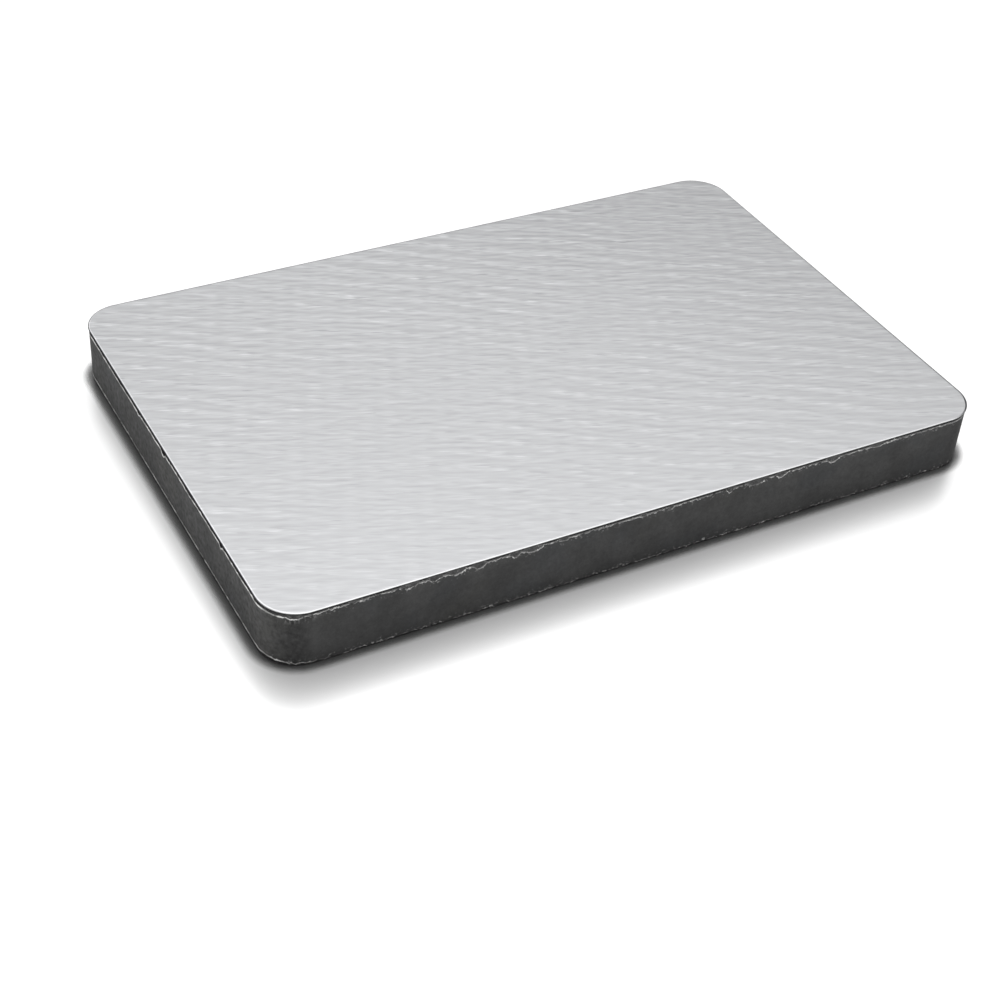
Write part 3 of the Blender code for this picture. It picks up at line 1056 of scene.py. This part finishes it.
def new_facing(settings):
    """The metal sheet: a block the size of its solid, with round corners, a shoulder and rounded rims."""
    low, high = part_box("facing_sheet")
    size, middle = high - low, (low + high) / 2
    edit = bmesh.new()
    bmesh.ops.create_cube(edit, size=1.0, matrix=Matrix.LocRotScale(middle, None, size))
    upright = [edge for edge in edit.edges if abs(edge.verts[0].co.z - edge.verts[1].co.z) > size.z / 2]
    bmesh.ops.bevel(
        edit, geom=upright, offset=corner_radius("facing_sheet"), segments=FACING_CORNER_STEPS,
        profile=0.5, affect="EDGES", material=-1,
    )
    top = max(edit.faces, key=lambda face: face.calc_center_median().z)
    outer = list(top.verts)
    bmesh.ops.inset_individual(edit, faces=[top], thickness=settings.shoulder_width, use_even_offset=True)
    outer = [vert for vert in outer if vert.is_valid and vert not in top.verts]
    bmesh.ops.translate(edit, verts=outer, vec=(0, 0, -settings.shoulder_drop))
    rims = [edge for edge in edit.edges if edge.calc_face_angle(0.0) > RIM_ANGLE]
    bmesh.ops.bevel(
        edit, geom=rims, offset=settings.rim_radius, segments=FACING_RIM_STEPS,
        profile=0.5, affect="EDGES", material=-1,
    )
    for face in edit.faces:
        is_flat = abs(face.normal.z) > 0.9999
        face.material_index = 0 if is_flat or face.normal.z > CUT_RISE else 1
        face.smooth = not is_flat
    mark_rim(edit, low, high, settings)
    map_facing(edit, low, size)
    materials = [brushed_metal(settings), sheared_metal(settings)]
    return finish_piece("brushed_facing", edit, materials)


def map_facing(edit, low, size):
    """The top across the whole map, and the underside and the sides of the sheet over it."""
    layer = edit.loops.layers.uv.new(BAKE_MAP)
    top = [face for face in edit.faces if face.normal.z > 0.5]
    under = [face for face in edit.faces if face.normal.z < -0.5]
    sides = [face for face in edit.faces if abs(face.normal.z) <= 0.5]
    wide = (1 - 2 * MAP_MARGIN) / size.x
    over_top = 2 * MAP_MARGIN + wide * size.y
    small = (1 - MAP_MARGIN - over_top) / size.y
    beside = 3 * MAP_MARGIN + small * size.x
    map_flat(top, layer, low, (MAP_MARGIN, MAP_MARGIN), wide)
    map_flat(under, layer, low, (MAP_MARGIN, over_top), small)
    map_rim(sides, layer, low, size, (beside, over_top), (1 - MAP_MARGIN - beside) / size.x)


def mark_rim(edit, low, high, settings):
    """Writes the painted light on the facing's rim: a painted highlight in front, and on a ring inside it a
    painted highlight at the left end and painted shade elsewhere.

    The shoulder runs from nought at its inner loop to one at the rim, and the painted shade over its outer
    part is a share of its width, larger near the front right corner.
    """
    shoulder, front_rim_highlight, ring_painted_light, rim_painted_shade = (
        edit.verts.layers.float.new(name) for name in ("shoulder", "front_rim_highlight", "ring_painted_light", "rim_painted_shade")
    )
    reach = corner_radius("facing_sheet")
    # A corner near which the rim is darker and its front highlight fades
    dark_corner = Vector((high.x - reach / 7, low.y + reach / 2))
    for vert in edit.verts:
        vert[shoulder] = 1.0 if vert.co.z < high.z - settings.shoulder_drop / 2 else 0.0
        corner_darkness = nearness((vert.co.xy - dark_corner).length, reach)
        vert[front_rim_highlight] = nearness(vert.co.y - low.y, reach) * (1 - corner_darkness) ** 2
        at_left = nearness(vert.co.x - low.x, reach)
        vert[ring_painted_light] = LEFT_PAINTED_HIGHLIGHT * at_left + OTHER_PAINTED_SHADE * (1 - at_left)
        vert[rim_painted_shade] = RIM_PAINTED_SHADE + CORNER_DARKENING * corner_darkness


def nearness(distance, reach):
    """One at no distance, falling to nought at the reach."""
    return min(max(1 - distance / reach, 0.0), 1.0)


def new_floor(settings):
    """A floor that is white far from the board, keeps the board's shadow, and has a painted contact shadow
    darkening its colour near the board.
    """
    edit = bmesh.new()
    bmesh.ops.create_grid(edit, x_segments=1, y_segments=1, size=FLOOR_SIZE)
    material, nodes, shader = new_material("floor_white")
    reach = {"Distance": settings.contact_reach}
    # Painted shadow: the floor's colour and glow darken where little open sky reaches it, next to the board
    open_sky = nodes.add("ShaderNodeAmbientOcclusion", reach, samples=4).outputs["AO"]
    contact = nodes.ramp(open_sky, CONTACT_SKY, 1.0, CONTACT_SHADE, 1.0)
    nodes.feed(shader["Base Color"], nodes.shaded(opaque([settings.floor_shade] * 3), contact))
    shader["Roughness"].default_value = FLOOR_ROUGHNESS
    shader["Metallic"].default_value = settings.floor_polish
    shader["Specular IOR Level"].default_value = 0.0
    shader["Emission Color"].default_value = (1.0, 1.0, 1.0, 1.0)
    daylight = settings.ambient + settings.sun_level * math.sin(settings.sun_elevation)
    lit = (1 - settings.floor_polish) * daylight + settings.floor_polish
    glow = nodes.math("MULTIPLY", contact, 1.0 - settings.floor_shade * lit)
    nodes.feed(shader["Emission Strength"], nodes.math("MULTIPLY", seen_directly(nodes), glow))
    floor = finish_piece("stage_floor", edit, [material])
    floor.location.z = -FLOOR_DEPTH


def seen_directly(nodes):
    """One where the camera sees something straight, mirrored or through glass, and else nought."""
    path = nodes.add("ShaderNodeLightPath").outputs
    mirrored = nodes.math("MAXIMUM", path["Is Glossy Ray"], path["Is Transmission Ray"])
    return nodes.math("MAXIMUM", path["Is Camera Ray"], mirrored)


def new_world(settings):
    """A plain light from all round, seen as white."""
    world = bpy.data.worlds.new("studio")
    world.use_nodes = True
    nodes = Nodes(world.node_tree)
    background = world.node_tree.nodes["Background"].inputs
    background["Color"].default_value = (1.0, 1.0, 1.0, 1.0)
    lift = nodes.math("MULTIPLY", seen_directly(nodes), 1.0 - settings.ambient)
    nodes.feed(background["Strength"], nodes.math("ADD", lift, settings.ambient))
    bpy.context.scene.world = world


def new_sun(settings):
    """One wide sun, high behind the board and a little to the right."""
    light = bpy.data.lights.new("soft_sun", "SUN")
    light.energy = math.pi * settings.sun_level
    light.angle = settings.sun_spread
    sun = bpy.data.objects.new("soft_sun", light)
    azimuth, elevation = settings.sun_azimuth, settings.sun_elevation
    towards = Vector((
        math.sin(azimuth) * math.cos(elevation),
        math.cos(azimuth) * math.cos(elevation),
        math.sin(elevation),
    ))
    sun.rotation_euler = (-towards).to_track_quat("-Z", "Y").to_euler()
    bpy.context.scene.collection.objects.link(sun)


def new_camera(settings):
    camera = bpy.data.cameras.new("photo_view")
    camera.lens = settings.lens
    camera.clip_start = 0.01
    viewer = bpy.data.objects.new("photo_view", camera)
    azimuth, elevation = settings.azimuth, settings.elevation
    back = Vector((
        math.sin(azimuth) * math.cos(elevation),
        -math.cos(azimuth) * math.cos(elevation),
        math.sin(elevation),
    ))
    level = (-back).to_track_quat("-Z", "Y")
    viewer.location = Vector(settings.aim) + back * settings.distance
    viewer.rotation_euler = (level @ Quaternion((0, 0, 1), settings.roll)).to_euler()
    bpy.context.scene.collection.objects.link(viewer)
    bpy.context.scene.camera = viewer


class DUCTBOARD_OT_facing(bpy.types.Operator):
    """Make the brushed metal facing in the place of its solid"""

    bl_idname = "duct_board.facing"
    bl_label = "Make facing"

    def execute(self, context):
        facing = new_facing(context.scene.duct_board.facing)
        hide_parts("facing_sheet")
        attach(facing, "root")
        return {"FINISHED"}


class DUCTBOARD_OT_film(bpy.types.Operator):
    """Give the adhesive film its material"""

    bl_idname = "duct_board.film"
    bl_label = "Finish adhesive film"

    def execute(self, context):
        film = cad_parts["bond_film"]
        film.data.materials.clear()
        film.data.materials.append(cured_adhesive(context.scene.duct_board.film))
        return {"FINISHED"}


class DUCTBOARD_OT_core(bpy.types.Operator):
    """Make the mineral core with its flaked arris in the place of its solid"""

    bl_idname = "duct_board.core"
    bl_label = "Make core"

    def execute(self, context):
        core = new_core(context.scene.duct_board.core)
        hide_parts("core")
        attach(core, "root")
        return {"FINISHED"}


class DUCTBOARD_OT_stage(bpy.types.Operator):
    """Set the floor, the light and the camera"""

    bl_idname = "duct_board.stage"
    bl_label = "Set stage"

    def execute(self, context):
        settings = context.scene.duct_board.stage
        new_floor(settings)
        new_world(settings)
        new_sun(settings)
        new_camera(settings)
        context.scene.view_settings.view_transform = "Standard"
        return {"FINISHED"}


class DUCTBOARD_PT_panel(bpy.types.Panel):
    """Lists the steps and their sizes and colours."""

    bl_label = "Duct board"
    bl_idname = "DUCTBOARD_PT_panel"
    bl_space_type = "VIEW_3D"
    bl_region_type = "UI"
    bl_category = "Duct board"

    def draw(self, context):
        board = context.scene.duct_board
        steps = (
            ("facing", board.facing), ("film", board.film), ("core", board.core), ("stage", board.stage),
        )
        for step, settings in steps:
            box = self.layout.box()
            for name in settings.__annotations__:
                box.prop(settings, name)
            box.operator("duct_board." + step)


CLASSES = (
    FacingSettings, FilmSettings, CoreSettings, StageSettings, DuctBoardSettings,
    DUCTBOARD_OT_facing, DUCTBOARD_OT_film, DUCTBOARD_OT_core, DUCTBOARD_OT_stage,
    DUCTBOARD_PT_panel,
)


def register():
    for cls in CLASSES:
        bpy.utils.register_class(cls)
    bpy.types.Scene.duct_board = bpy.props.PointerProperty(type=DuctBoardSettings)


def unregister():
    del bpy.types.Scene.duct_board
    for cls in reversed(CLASSES):
        bpy.utils.unregister_class(cls)


def main():
    register()
    bpy.ops.duct_board.facing()
    bpy.ops.duct_board.film()
    bpy.ops.duct_board.core()
    bpy.ops.duct_board.stage()


if __name__ == "__main__":
    main()
